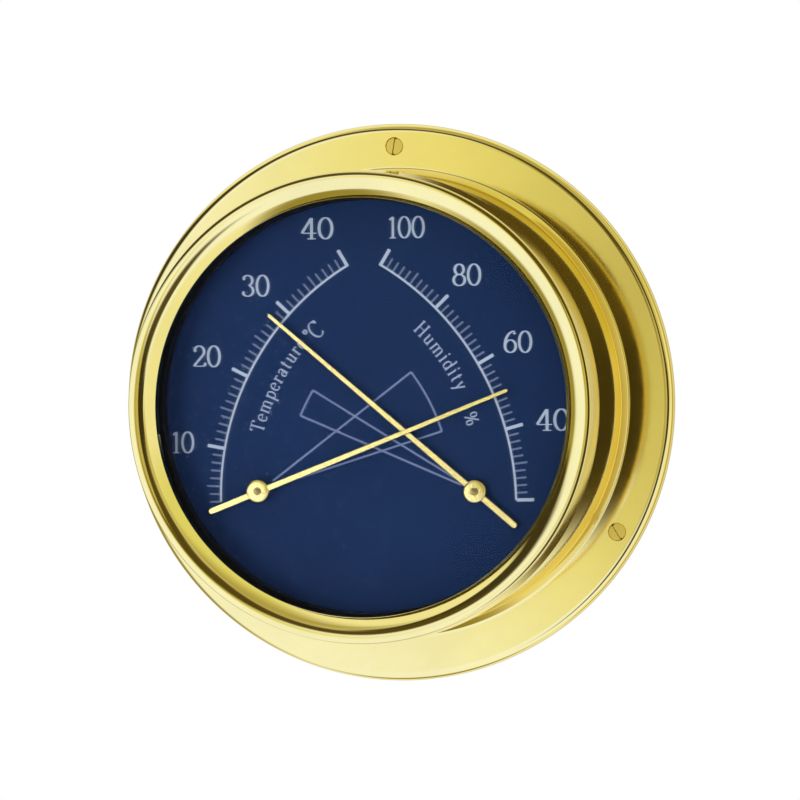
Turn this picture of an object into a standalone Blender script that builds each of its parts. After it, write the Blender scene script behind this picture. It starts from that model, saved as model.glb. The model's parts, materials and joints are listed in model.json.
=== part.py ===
"""Wall-mounted dial instrument: a thermometer and a hygrometer behind one glass, in a flanged brass case.

The pieces are modelled as on a bench, dial upwards: x to the right, y towards twelve o'clock and z out of the
wall.
One empty then stands the whole instrument up, so that the wall plane is y = 0 and the dial faces -y.
All sizes are in metres, and angles on the dial run anticlockwise from three o'clock, in degrees.
"""

import math

import bmesh
import bpy

# Clearances
SEAT_GAP = 0.0002
FIT_GAP = 0.0002
PRESS_GAP = 0.0001
SWEEP_GAP = 0.0004

# Case: flange, body and set-in neck
CASE_DEPTH = 0.0400
FLANGE_RADIUS = 0.0550
FLANGE_WIDTH = 0.0105
FLANGE_THICKNESS = 0.0026
FLANGE_EDGE_WIDTH = 0.00175
FLANGE_EDGE_DROP = 0.0020
FLANGE_BACK_CHAMFER = 0.0003
BODY_WALL = 0.0012
ROOT_CONE_WIDTH = 0.0016
ROOT_CONE_HEIGHT = 0.0019
NECK_STEP = 0.0018
EDGE_FULLNESS = 3.0

# Bezel ring
LIP_DROP = 0.0020
LIP_THICKNESS = 0.0020
BEAD_WIDTH = 0.0039
BEAD_ROUND = 0.0060
BEAD_TILT = 18.0
BEVEL_ROUND = 0.0020
BEVEL_TILT = 38.0
EDGE_WIDTH = 0.0009
EDGE_DROP = 0.0003
SKIRT_DEPTH = 0.0082
SKIRT_PROUD = 0.00025
SKIRT_FLARE = 0.00055
SKIRT_HEM_ROUND = 0.0004

# Glass, seal, spacer and dial
GLASS_THICKNESS = 0.0018
GASKET_THICKNESS = 0.0006
GASKET_WIDTH = 0.0011
SPACER_WIDTH = 0.0022
DIAL_THICKNESS = 0.0008
RETAINING_RING_WIDTH = 0.0016
RETAINING_RING_THICKNESS = 0.0010
RETAINING_RING_MOUTH = 0.0090

# Dial layout
HUB_RIM_DISTANCE = 0.01285
HUB_ANGLE = 37.4
THERMOMETER_REST_ANGLE = 139.8
HYGROMETER_REST_ANGLE = 21.65

# Pointers
POINTER_REACH = 0.0520
POINTER_TAIL = 0.0104
POINTER_THICKNESS = 0.0004
POINTER_ROOT_WIDTH = 0.0012
POINTER_TIP_WIDTH = 0.0007
POINTER_LIFT = 0.0010
HUB_RADIUS = 0.0022
HUB_THICKNESS = 0.0008

# Arbors, bushes and collets
ARBOR_RADIUS = 0.0006
ARBOR_STANDOUT = 0.0001
ARBOR_SHOULDER_RADIUS = 0.0011
BUSH_RADIUS = 0.0016
BUSH_COLLAR_RADIUS = 0.0028
BUSH_COLLAR_THICKNESS = 0.0009
BUSH_STANDOUT = 0.0004
COLLET_RADIUS = 0.0018
COLLET_OVERHANG = 0.0004

# Movement plate and its pillars
PILLAR_LENGTH = 0.0104
PILLAR_RADIUS = 0.0019
PILLAR_FOOT_RADIUS = 0.0028
PILLAR_FOOT_THICKNESS = 0.0007
PILLAR_HALF_SPACING = 0.0072
PILLAR_OFFSET = 0.0070
PLATE_THICKNESS = 0.0012
PLATE_HALF_WIDTH = 0.0112
PILLAR_SCREW_RADIUS = 0.0009
PILLAR_SCREW_LENGTH = 0.0040
PILLAR_SCREW_HEAD_RADIUS = 0.0018
PILLAR_SCREW_HEAD_HEIGHT = 0.0011

# Sensing coils and what holds their outer ends
COIL_STRIP_WIDTH = 0.0040
COIL_STRIP_THICKNESS = 0.00035
COIL_STANDOFF = 0.0032
BIMETAL_TURNS = 4
BIMETAL_COIL_RADIUS = 0.0082
HYGROMETER_TURNS = 5
HYGROMETER_COIL_RADIUS = 0.0090
BIMETAL_ANCHOR_ANGLE = 50.0
HYGROMETER_ANCHOR_ANGLE = 130.0
ANCHOR_RADIUS = 0.0008
ANCHOR_SHOULDER_RADIUS = 0.0014
ANCHOR_SHOULDER_HEIGHT = 0.0009
ANCHOR_STANDOUT = 0.0006
ADJUSTER_SLEEVE_RADIUS = 0.0022
ADJUSTER_ARM_THICKNESS = 0.0009
ADJUSTER_ARM_HALF_WIDTH = 0.0019
ADJUSTER_HEAD_RADIUS = 0.0036
ADJUSTER_HEAD_HEIGHT = 0.0024
ADJUSTER_SOCKET_DEPTH = 0.0009

# Back cover
COVER_SHEET = 0.0008
COVER_RECESS = 0.0010
COVER_SKIRT = 0.0060
COVER_CORNER = 0.0006
COVER_DISH_RADIUS = 0.0345
COVER_DISH_DEPTH = 0.0012
VENT_WIDTH = 0.0022
VENT_LENGTH = 0.0150
VENT_PITCH = 0.0060
VENT_COUNT = 7
VENT_HEIGHT = 0.0130
ADJUSTER_ACCESS_RADIUS = 0.0032

# Wall screws
SCREW_EDGE_DISTANCE = 0.0045
SCREW_HEAD_RADIUS = 0.0017
SCREW_SHANK_RADIUS = 0.0011
SCREW_LENGTH = 0.0127
SCREW_POINT_LENGTH = 0.0030
SCREW_SINK = 0.0001
SCREW_SLOT_TURNS = {"top": 80.0, "right": 122.0, "left": 35.0}
SCREW_PLACES = {"top": 90.0, "right": -30.0, "left": 210.0}

# Screwdriver slots
SLOT_WIDTH = 0.0006
SLOT_DEPTH = 0.0007

# Facets
RIM_SEGMENTS = 64
RING_SEGMENTS = 48
SMALL_SEGMENTS = 20
PIN_SEGMENTS = 14
COIL_SEGMENTS = 24
SMOOTH_ANGLE = math.radians(34)

# Heights above the wall plane, worked out from the front to the back
LIP_FRONT = CASE_DEPTH - LIP_DROP
LIP_BACK = LIP_FRONT - LIP_THICKNESS
GLASS_FRONT = LIP_BACK - SEAT_GAP
GLASS_BACK = GLASS_FRONT - GLASS_THICKNESS
GASKET_FRONT = GLASS_BACK - SEAT_GAP
GASKET_BACK = GASKET_FRONT - GASKET_THICKNESS
SKIRT_BACK = CASE_DEPTH - SKIRT_DEPTH
SHOULDER_FRONT = SKIRT_BACK - SEAT_GAP
SHOULDER_BACK = SHOULDER_FRONT - BODY_WALL
DIAL_FRONT = SHOULDER_BACK - SEAT_GAP
DIAL_BACK = DIAL_FRONT - DIAL_THICKNESS
PILLAR_FRONT = DIAL_BACK - SEAT_GAP
PILLAR_BACK = PILLAR_FRONT - PILLAR_LENGTH
PLATE_FRONT = PILLAR_BACK - SEAT_GAP
PLATE_BACK = PLATE_FRONT - PLATE_THICKNESS
COIL_BACK = PLATE_FRONT + COIL_STANDOFF
COIL_FRONT = COIL_BACK + COIL_STRIP_WIDTH
THERMOMETER_HUB_BACK = DIAL_FRONT + POINTER_LIFT
THERMOMETER_HUB_FRONT = THERMOMETER_HUB_BACK + HUB_THICKNESS
BLADE_INSET = (HUB_THICKNESS - POINTER_THICKNESS) / 2
HYGROMETER_HUB_BACK = THERMOMETER_HUB_FRONT + ARBOR_STANDOUT + SWEEP_GAP - BLADE_INSET
HYGROMETER_HUB_FRONT = HYGROMETER_HUB_BACK + HUB_THICKNESS

# Radii that follow from the flange, from the outside in
SCREW_CIRCLE_RADIUS = FLANGE_RADIUS - SCREW_EDGE_DISTANCE
BODY_RADIUS = FLANGE_RADIUS - FLANGE_WIDTH
BODY_BORE = BODY_RADIUS - BODY_WALL
NECK_RADIUS = BODY_RADIUS - NECK_STEP
NECK_BORE = NECK_RADIUS - BODY_WALL
SPACER_BORE = NECK_BORE - FIT_GAP - SPACER_WIDTH
SKIRT_RADIUS = BODY_RADIUS + SKIRT_PROUD
CROWN_RADIUS = SKIRT_RADIUS - SKIRT_FLARE - EDGE_WIDTH
LIP_RADIUS = CROWN_RADIUS - BEAD_WIDTH

# Hubs on the lower half of the dial, a set distance in from the spacer
HUB_SPACING = 2 * (SPACER_BORE - HUB_RIM_DISTANCE) * math.cos(math.radians(HUB_ANGLE))
HUB_DROP = (SPACER_BORE - HUB_RIM_DISTANCE) * math.sin(math.radians(HUB_ANGLE))
THERMOMETER_HUB = (HUB_SPACING / 2, -HUB_DROP)
HYGROMETER_HUB = (-HUB_SPACING / 2, -HUB_DROP)
PILLAR_PLACES = {
    "top": (0.0, PILLAR_OFFSET - HUB_DROP),
    "left": (-PILLAR_HALF_SPACING, -PILLAR_OFFSET - HUB_DROP),
    "right": (PILLAR_HALF_SPACING, -PILLAR_OFFSET - HUB_DROP),
}

BRASS = ((0.80, 0.60, 0.16), 1.0, 0.12)
PALE_BRASS = ((0.86, 0.78, 0.46), 1.0, 0.25)
STEEL = ((0.45, 0.45, 0.46), 1.0, 0.35)
SPRING_STEEL = ((0.25, 0.25, 0.27), 1.0, 0.40)
BLACK_PAINT = ((0.012, 0.012, 0.012), 0.0, 0.60)
BLUE_PAINT = ((0.012, 0.025, 0.070), 0.0, 0.50)
RUBBER = ((0.020, 0.020, 0.020), 0.0, 0.80)
WINDOW = ((0.95, 0.97, 0.97), 0.0, 0.02)
HYGROSCOPIC_STRIP = ((0.62, 0.52, 0.34), 0.0, 0.55)


def polar(radius, degrees, center=(0.0, 0.0)):
    """Point on a circle, by its angle from three o'clock."""
    turn = math.radians(degrees)
    return (center[0] + radius * math.cos(turn), center[1] + radius * math.sin(turn))


def arc(center, radius, start, end, steps, fullness=2.0):
    """Points along an arc with both ends; radius may be a pair for an oval, and fullness over 2 squares it."""
    rx, ry = radius if isinstance(radius, tuple) else (radius, radius)
    points = []
    for i in range(steps + 1):
        turn = math.radians(start + (end - start) * i / steps)
        x = math.copysign(abs(math.cos(turn)) ** (2 / fullness), math.cos(turn))
        y = math.copysign(abs(math.sin(turn)) ** (2 / fullness), math.sin(turn))
        points.append((center[0] + rx * x, center[1] + ry * y))
    return points


def clear_scene():
    for obj in list(bpy.data.objects):
        bpy.data.objects.remove(obj, do_unlink=True)


def standing_empty():
    """The empty that turns the bench model up against the wall."""
    empty = bpy.data.objects.new("standing", None)
    empty.rotation_euler = (math.pi / 2, 0.0, 0.0)
    bpy.context.scene.collection.objects.link(empty)
    return empty


def material_for(name, finish):
    color, metallic, roughness = finish
    material = bpy.data.materials.new(name)
    material.use_nodes = True
    shader = material.node_tree.nodes["Principled BSDF"]
    shader.inputs["Base Color"].default_value = (*color, 1.0)
    shader.inputs["Metallic"].default_value = metallic
    shader.inputs["Roughness"].default_value = roughness
    return material


def add_object(name, bm, finish, at=(0.0, 0.0), turn=0.0):
    """Makes a bench object from a bmesh, standing at a place on the dial and turned about its own axis."""
    bmesh.ops.recalc_face_normals(bm, faces=bm.faces[:])
    mesh = bpy.data.meshes.new(name)
    bm.to_mesh(mesh)
    bm.free()
    mesh.shade_smooth()
    mesh.set_sharp_from_angle(angle=SMOOTH_ANGLE)
    obj = bpy.data.objects.new(name, mesh)
    obj.location = (at[0], at[1], 0.0)
    obj.rotation_euler = (0.0, 0.0, math.radians(turn))
    obj.parent = STANDING
    bpy.context.scene.collection.objects.link(obj)
    if finish is not None:
        mesh.materials.append(material_for(name, finish))
    return obj


def add_turned(bm, profile, center=(0.0, 0.0), segments=SMALL_SEGMENTS):
    """Spins a profile of (radius, height) points once round; one that ends on the axis stays open there."""
    verts = [bm.verts.new((radius, 0.0, height)) for radius, height in profile]
    solid = profile[0][0] == 0.0 and profile[-1][0] == 0.0
    pairs = list(zip(verts, verts[1:]))
    if not solid:
        pairs.append((verts[-1], verts[0]))
    edges = [bm.edges.new(pair) for pair in pairs]
    before = set(bm.verts) - set(verts)
    bmesh.ops.spin(bm, geom=verts + edges, cent=(0.0, 0.0, 0.0), axis=(0.0, 0.0, 1.0), dvec=(0.0, 0.0, 0.0),
                   angle=2 * math.pi, steps=segments, use_merge=True)
    made = [v for v in bm.verts if v not in before]
    bmesh.ops.remove_doubles(bm, verts=made, dist=1e-7)
    made = [v for v in bm.verts if v not in before]
    bmesh.ops.translate(bm, verts=made, vec=(center[0], center[1], 0.0))


def add_prism(bm, outline, low, high):
    """Extrudes a flat outline from one height to another."""
    base = bm.faces.new([bm.verts.new((x, y, low)) for x, y in outline])
    lifted = bmesh.ops.extrude_face_region(bm, geom=[base])["geom"]
    tops = [v for v in lifted if isinstance(v, bmesh.types.BMVert)]
    bmesh.ops.translate(bm, verts=tops, vec=(0.0, 0.0, high - low))


def turned(name, profile, finish, at=(0.0, 0.0), segments=SMALL_SEGMENTS, turn=0.0):
    bm = bmesh.new()
    add_turned(bm, profile, segments=segments)
    return add_object(name, bm, finish, at, turn)


def pin_profile(radius, low, high):
    return [(0.0, high), (radius, high), (radius, low), (0.0, low)]


def ring_profile(inner, outer, low, high):
    return [(inner, high), (outer, high), (outer, low), (inner, low)]


def slot_outline(start, end, half_width, steps=6):
    """Outline of a straight slot with round ends."""
    heading = math.degrees(math.atan2(end[1] - start[1], end[0] - start[0]))
    far = arc(end, half_width, heading - 90, heading + 90, steps)
    near = arc(start, half_width, heading + 90, heading + 270, steps)
    return far + near


def tool(name, bm, at=(0.0, 0.0), turn=0.0):
    """A helper solid for a Boolean, which isn't a piece."""
    obj = add_object(name, bm, None, at, turn)
    obj.hide_render = True
    obj.display_type = "WIRE"
    return obj


def combine(obj, helper, operation):
    step = obj.modifiers.new(helper.name, "BOOLEAN")
    step.object = helper
    step.operation = operation
    step.solver = "EXACT"


def hole_tool(name, holes, low, high, segments=SMALL_SEGMENTS):
    """Round punches, given as (place, radius) pairs."""
    bm = bmesh.new()
    for place, radius in holes:
        add_turned(bm, pin_profile(radius, low, high), place, segments)
    return tool(name, bm)


def driver_slot_tool(name, at, turn, reach, low, high):
    bm = bmesh.new()
    half = SLOT_WIDTH / 2
    add_prism(bm, [(-reach, -half), (reach, -half), (reach, half), (-reach, half)], low, high)
    return tool(name, bm, at, turn)


def flanged_case():
    """Drawn case: flange against the wall, coned root, body, and a neck set in under the bezel."""
    edge = arc((FLANGE_RADIUS - FLANGE_EDGE_WIDTH, FLANGE_THICKNESS - FLANGE_EDGE_DROP),
               (FLANGE_EDGE_WIDTH, FLANGE_EDGE_DROP), 0, 90, 6, EDGE_FULLNESS)
    root = [(BODY_RADIUS + ROOT_CONE_WIDTH, FLANGE_THICKNESS)]
    root += [(BODY_RADIUS, FLANGE_THICKNESS + ROOT_CONE_HEIGHT)]
    neck_front = LIP_BACK - SEAT_GAP
    profile = [(BODY_BORE, 0.0), (FLANGE_RADIUS - FLANGE_BACK_CHAMFER, 0.0)]
    profile += [(FLANGE_RADIUS, FLANGE_BACK_CHAMFER)]
    profile += edge + root
    profile += [(BODY_RADIUS, SHOULDER_FRONT), (NECK_RADIUS, SHOULDER_FRONT), (NECK_RADIUS, neck_front)]
    profile += [(NECK_BORE, neck_front), (NECK_BORE, SHOULDER_BACK), (BODY_BORE, SHOULDER_BACK)]
    case = turned("flanged_case", profile, BRASS, segments=RIM_SEGMENTS)
    bm = bmesh.new()
    for degrees in SCREW_PLACES.values():
        add_turned(bm, countersink_profile(), polar(SCREW_CIRCLE_RADIUS, degrees))
    combine(case, tool("case_screw_holes", bm), "DIFFERENCE")


def countersink_profile():
    """Clearance hole with a cone for the head, run on past both faces of the flange."""
    hole = SCREW_SHANK_RADIUS + FIT_GAP
    mouth = SCREW_HEAD_RADIUS + FIT_GAP
    above = FLANGE_THICKNESS + SCREW_HEAD_RADIUS
    below = -SCREW_HEAD_RADIUS
    seat = FLANGE_THICKNESS - (mouth - hole)
    return [(0.0, above), (mouth, above), (mouth, FLANGE_THICKNESS), (hole, seat), (hole, below), (0.0, below)]


def bezel_ring():
    """Turned ring: inner lip, bevel and rounded bead up to the crown, gentle outer edge, flared skirt."""
    bead_center = (CROWN_RADIUS, CASE_DEPTH - BEAD_ROUND)
    bevel_center = polar(BEAD_ROUND - BEVEL_ROUND, 90 + BEAD_TILT, bead_center)
    bead = [(LIP_RADIUS, LIP_FRONT)]
    bead += arc(bevel_center, BEVEL_ROUND, 90 + BEVEL_TILT, 90 + BEAD_TILT, 3)
    bead += arc(bead_center, BEAD_ROUND, 90 + BEAD_TILT, 90, 4)[1:]
    edge = arc((CROWN_RADIUS, CASE_DEPTH - EDGE_DROP), (EDGE_WIDTH, EDGE_DROP), 90, 0, 4, EDGE_FULLNESS)
    hem = arc((SKIRT_RADIUS - SKIRT_HEM_ROUND, SKIRT_BACK + SKIRT_HEM_ROUND), SKIRT_HEM_ROUND, 0, -90, 2)
    skirt_bore = NECK_RADIUS + FIT_GAP
    profile = bead + edge[1:] + hem
    profile += [(skirt_bore, SKIRT_BACK), (skirt_bore, LIP_BACK), (LIP_RADIUS, LIP_BACK)]
    turned("bezel_ring", profile, BRASS, segments=RIM_SEGMENTS)


def window_stack():
    """Glass, seal and spacer, which sit in the neck in front of the dial."""
    outer = NECK_BORE - FIT_GAP
    turned("glass", pin_profile(outer, GLASS_BACK, GLASS_FRONT), WINDOW, segments=RING_SEGMENTS)
    gasket = ring_profile(outer - GASKET_WIDTH, outer, GASKET_BACK, GASKET_FRONT)
    turned("glass_gasket", gasket, RUBBER, segments=RING_SEGMENTS)
    spacer = ring_profile(SPACER_BORE, outer, DIAL_FRONT + SEAT_GAP, GASKET_BACK - SEAT_GAP)
    turned("spacer_ring", spacer, BLACK_PAINT, segments=RING_SEGMENTS)


def dial_plate():
    """Dial disc, put in from behind against the shoulder of the neck."""
    dial = turned("dial_plate", pin_profile(BODY_BORE - FIT_GAP, DIAL_BACK, DIAL_FRONT), BLUE_PAINT,
                  segments=RING_SEGMENTS)
    holes = [(THERMOMETER_HUB, BUSH_RADIUS + FIT_GAP), (HYGROMETER_HUB, BUSH_RADIUS + FIT_GAP)]
    punch = hole_tool("dial_holes", holes, DIAL_BACK - DIAL_THICKNESS, DIAL_FRONT + DIAL_THICKNESS)
    combine(dial, punch, "DIFFERENCE")


def retaining_ring():
    """Split spring ring that grips the bore behind the dial, open at the bottom."""
    front = DIAL_BACK - SEAT_GAP
    back = front - RETAINING_RING_THICKNESS
    outer = BODY_BORE - FIT_GAP
    profile = ring_profile(outer - RETAINING_RING_WIDTH, outer, back, front)
    ring = turned("retaining_ring", profile, SPRING_STEEL, segments=RING_SEGMENTS)
    half = RETAINING_RING_MOUTH / 2
    inner = outer - 2 * RETAINING_RING_WIDTH
    bm = bmesh.new()
    add_prism(bm, [(-half, -BODY_RADIUS), (half, -BODY_RADIUS), (half, -inner), (-half, -inner)],
              back - RETAINING_RING_THICKNESS, front + RETAINING_RING_THICKNESS)
    combine(ring, tool("retaining_ring_mouth", bm), "DIFFERENCE")


def pillars():
    """Spacers with a foot on the dial and a tapped hole at the back, each with its screw."""
    bore = PILLAR_SCREW_RADIUS + PRESS_GAP
    head_front = PLATE_BACK - SEAT_GAP
    head_back = head_front - PILLAR_SCREW_HEAD_HEIGHT
    tip = head_front + PILLAR_SCREW_LENGTH
    pillar = [(0.0, PILLAR_FRONT), (PILLAR_FOOT_RADIUS, PILLAR_FRONT)]
    pillar += [(PILLAR_FOOT_RADIUS, PILLAR_FRONT - PILLAR_FOOT_THICKNESS)]
    pillar += [(PILLAR_RADIUS, PILLAR_FRONT - PILLAR_FOOT_THICKNESS), (PILLAR_RADIUS, PILLAR_BACK)]
    pillar += [(bore, PILLAR_BACK), (bore, tip + SEAT_GAP), (0.0, tip + SEAT_GAP)]
    screw = [(0.0, tip), (PILLAR_SCREW_RADIUS, tip), (PILLAR_SCREW_RADIUS, head_front)]
    screw += [(PILLAR_SCREW_HEAD_RADIUS, head_front), (PILLAR_SCREW_HEAD_RADIUS, head_back), (0.0, head_back)]
    for side, place in PILLAR_PLACES.items():
        turned("pillar_" + side, pillar, BRASS, place, PIN_SEGMENTS)
        fastener = turned("pillar_screw_" + side, screw, STEEL, place, PIN_SEGMENTS)
        cut = driver_slot_tool("pillar_screw_slot_" + side, place, 0.0, 2 * PILLAR_SCREW_HEAD_RADIUS,
                               head_back - SLOT_DEPTH, head_back + SLOT_DEPTH)
        combine(fastener, cut, "DIFFERENCE")


def anchor_place(hub, coil_radius, degrees):
    """Where the post stands that takes a coil's outer end."""
    return polar(anchor_distance(coil_radius), degrees, hub)


def anchor_distance(coil_radius):
    return coil_radius + COIL_STRIP_THICKNESS / 2 + FIT_GAP + ANCHOR_RADIUS


def movement_plate():
    """Long plate with round ends, one end about each arbor."""
    outline = slot_outline(HYGROMETER_HUB, THERMOMETER_HUB, PLATE_HALF_WIDTH, 14)
    bm = bmesh.new()
    add_prism(bm, outline, PLATE_BACK, PLATE_FRONT)
    plate = add_object("movement_plate", bm, BRASS)
    holes = [(place, PILLAR_SCREW_RADIUS + FIT_GAP) for place in PILLAR_PLACES.values()]
    holes += [(THERMOMETER_HUB, BUSH_RADIUS + FIT_GAP), (HYGROMETER_HUB, ADJUSTER_SLEEVE_RADIUS + FIT_GAP)]
    post = anchor_place(THERMOMETER_HUB, BIMETAL_COIL_RADIUS, BIMETAL_ANCHOR_ANGLE)
    holes += [(post, ANCHOR_RADIUS + FIT_GAP)]
    low = PLATE_BACK - PLATE_THICKNESS
    high = PLATE_FRONT + PLATE_THICKNESS
    punch = hole_tool("movement_plate_holes", holes, low, high, PIN_SEGMENTS)
    combine(plate, punch, "DIFFERENCE")


def bush_profile(collar_high, collar_low, end):
    """Flanged bush: a collar, and a sleeve that runs from it to its end."""
    bore = ARBOR_RADIUS + FIT_GAP
    if end > collar_high:
        return [(bore, end), (BUSH_RADIUS, end), (BUSH_RADIUS, collar_high), (BUSH_COLLAR_RADIUS, collar_high),
                (BUSH_COLLAR_RADIUS, collar_low), (bore, collar_low)]
    return [(bore, collar_high), (BUSH_COLLAR_RADIUS, collar_high), (BUSH_COLLAR_RADIUS, collar_low),
            (BUSH_RADIUS, collar_low), (BUSH_RADIUS, end), (bore, end)]


def bushes():
    front_collar = DIAL_BACK - SEAT_GAP
    front = bush_profile(front_collar, front_collar - BUSH_COLLAR_THICKNESS, DIAL_FRONT + BUSH_STANDOUT)
    turned("thermometer_front_bush", front, BRASS, THERMOMETER_HUB)
    turned("hygrometer_front_bush", front, BRASS, HYGROMETER_HUB)
    rear_collar = PLATE_FRONT + SEAT_GAP
    rear = bush_profile(rear_collar + BUSH_COLLAR_THICKNESS, rear_collar, PLATE_BACK - BUSH_STANDOUT)
    turned("thermometer_rear_bush", rear, BRASS, THERMOMETER_HUB)


def arbor(name, hub, rear_seat, front_end):
    """Thin shaft with a shoulder between its rear bearing and the collet."""
    shoulder_low = rear_seat + SEAT_GAP
    shoulder_high = COIL_BACK - COLLET_OVERHANG - SEAT_GAP
    profile = [(0.0, front_end), (ARBOR_RADIUS, front_end), (ARBOR_RADIUS, shoulder_high)]
    profile += [(ARBOR_SHOULDER_RADIUS, shoulder_high), (ARBOR_SHOULDER_RADIUS, shoulder_low)]
    profile += [(ARBOR_RADIUS, shoulder_low), (ARBOR_RADIUS, PLATE_BACK), (0.0, PLATE_BACK)]
    turned(name, profile, BRASS, hub, PIN_SEGMENTS)


def arbors():
    thermometer_seat = PLATE_FRONT + SEAT_GAP + BUSH_COLLAR_THICKNESS
    hygrometer_seat = PLATE_FRONT + SEAT_GAP + ADJUSTER_ARM_THICKNESS
    arbor("thermometer_arbor", THERMOMETER_HUB, thermometer_seat, THERMOMETER_HUB_FRONT + ARBOR_STANDOUT)
    arbor("hygrometer_arbor", HYGROMETER_HUB, hygrometer_seat, HYGROMETER_HUB_FRONT + ARBOR_STANDOUT)
    collet = ring_profile(ARBOR_RADIUS + PRESS_GAP, COLLET_RADIUS, COIL_BACK - COLLET_OVERHANG,
                          COIL_FRONT + COLLET_OVERHANG)
    turned("bimetal_collet", collet, BRASS, THERMOMETER_HUB, PIN_SEGMENTS)
    turned("hygrometer_collet", collet, BRASS, HYGROMETER_HUB, PIN_SEGMENTS)


def pointer(name, hub, degrees, hub_back):
    """Hub disc on the arbor, with a tapered blade to the scale and a short balancing tail."""
    hub_front = hub_back + HUB_THICKNESS
    profile = ring_profile(ARBOR_RADIUS + PRESS_GAP, HUB_RADIUS, hub_back, hub_front)
    disc = turned(name, profile, PALE_BRASS, hub, SMALL_SEGMENTS, degrees)
    root = (ARBOR_RADIUS + PRESS_GAP + HUB_RADIUS) / 2
    wide = POINTER_ROOT_WIDTH / 2
    narrow = POINTER_TIP_WIDTH / 2
    tip = arc((POINTER_REACH - narrow, 0.0), narrow, -90, 90, 6)
    tail = arc((wide - POINTER_TAIL, 0.0), wide, 90, 270, 6)
    bm = bmesh.new()
    low = hub_back + BLADE_INSET
    add_prism(bm, [(root, -wide)] + tip + [(root, wide)], low, low + POINTER_THICKNESS)
    add_prism(bm, [(-root, wide)] + tail + [(-root, -wide)], low, low + POINTER_THICKNESS)
    combine(disc, tool(name + "_blade", bm, hub, degrees), "UNION")


def pointers():
    pointer("thermometer_pointer", THERMOMETER_HUB, THERMOMETER_REST_ANGLE, THERMOMETER_HUB_BACK)
    pointer("hygrometer_pointer", HYGROMETER_HUB, HYGROMETER_REST_ANGLE, HYGROMETER_HUB_BACK)


def coil(name, hub, finish, outer_radius, turns, end_angle):
    """Flat spiral strip from the collet out to its anchor post."""
    inner_radius = COLLET_RADIUS + FIT_GAP + COIL_STRIP_THICKNESS / 2
    steps = turns * COIL_SEGMENTS
    bm = bmesh.new()
    points = []
    for i in range(steps + 1):
        radius = inner_radius + (outer_radius - inner_radius) * i / steps
        x, y = polar(radius, end_angle - 360.0 * turns * (1 - i / steps))
        points.append(bm.verts.new((x, y, COIL_BACK)))
    edges = [bm.edges.new(pair) for pair in zip(points, points[1:])]
    lifted = bmesh.ops.extrude_edge_only(bm, edges=edges)["geom"]
    tops = [v for v in lifted if isinstance(v, bmesh.types.BMVert)]
    bmesh.ops.translate(bm, verts=tops, vec=(0.0, 0.0, COIL_STRIP_WIDTH))
    strip = add_object(name, bm, finish, hub)
    sheet = strip.modifiers.new("strip", "SOLIDIFY")
    sheet.thickness = COIL_STRIP_THICKNESS
    sheet.offset = 0.0


def anchor_profile(foot_low, shoulder_low):
    shoulder_high = shoulder_low + ANCHOR_SHOULDER_HEIGHT
    top = COIL_FRONT + ANCHOR_STANDOUT
    return [(0.0, top), (ANCHOR_RADIUS, top), (ANCHOR_RADIUS, shoulder_high),
            (ANCHOR_SHOULDER_RADIUS, shoulder_high), (ANCHOR_SHOULDER_RADIUS, shoulder_low),
            (ANCHOR_RADIUS, shoulder_low), (ANCHOR_RADIUS, foot_low), (0.0, foot_low)]


def bimetal_element():
    coil("bimetal_coil", THERMOMETER_HUB, STEEL, BIMETAL_COIL_RADIUS, BIMETAL_TURNS, BIMETAL_ANCHOR_ANGLE)
    post = anchor_place(THERMOMETER_HUB, BIMETAL_COIL_RADIUS, BIMETAL_ANCHOR_ANGLE)
    turned("bimetal_anchor", anchor_profile(PLATE_BACK, PLATE_FRONT + SEAT_GAP), BRASS, post, PIN_SEGMENTS)


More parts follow.
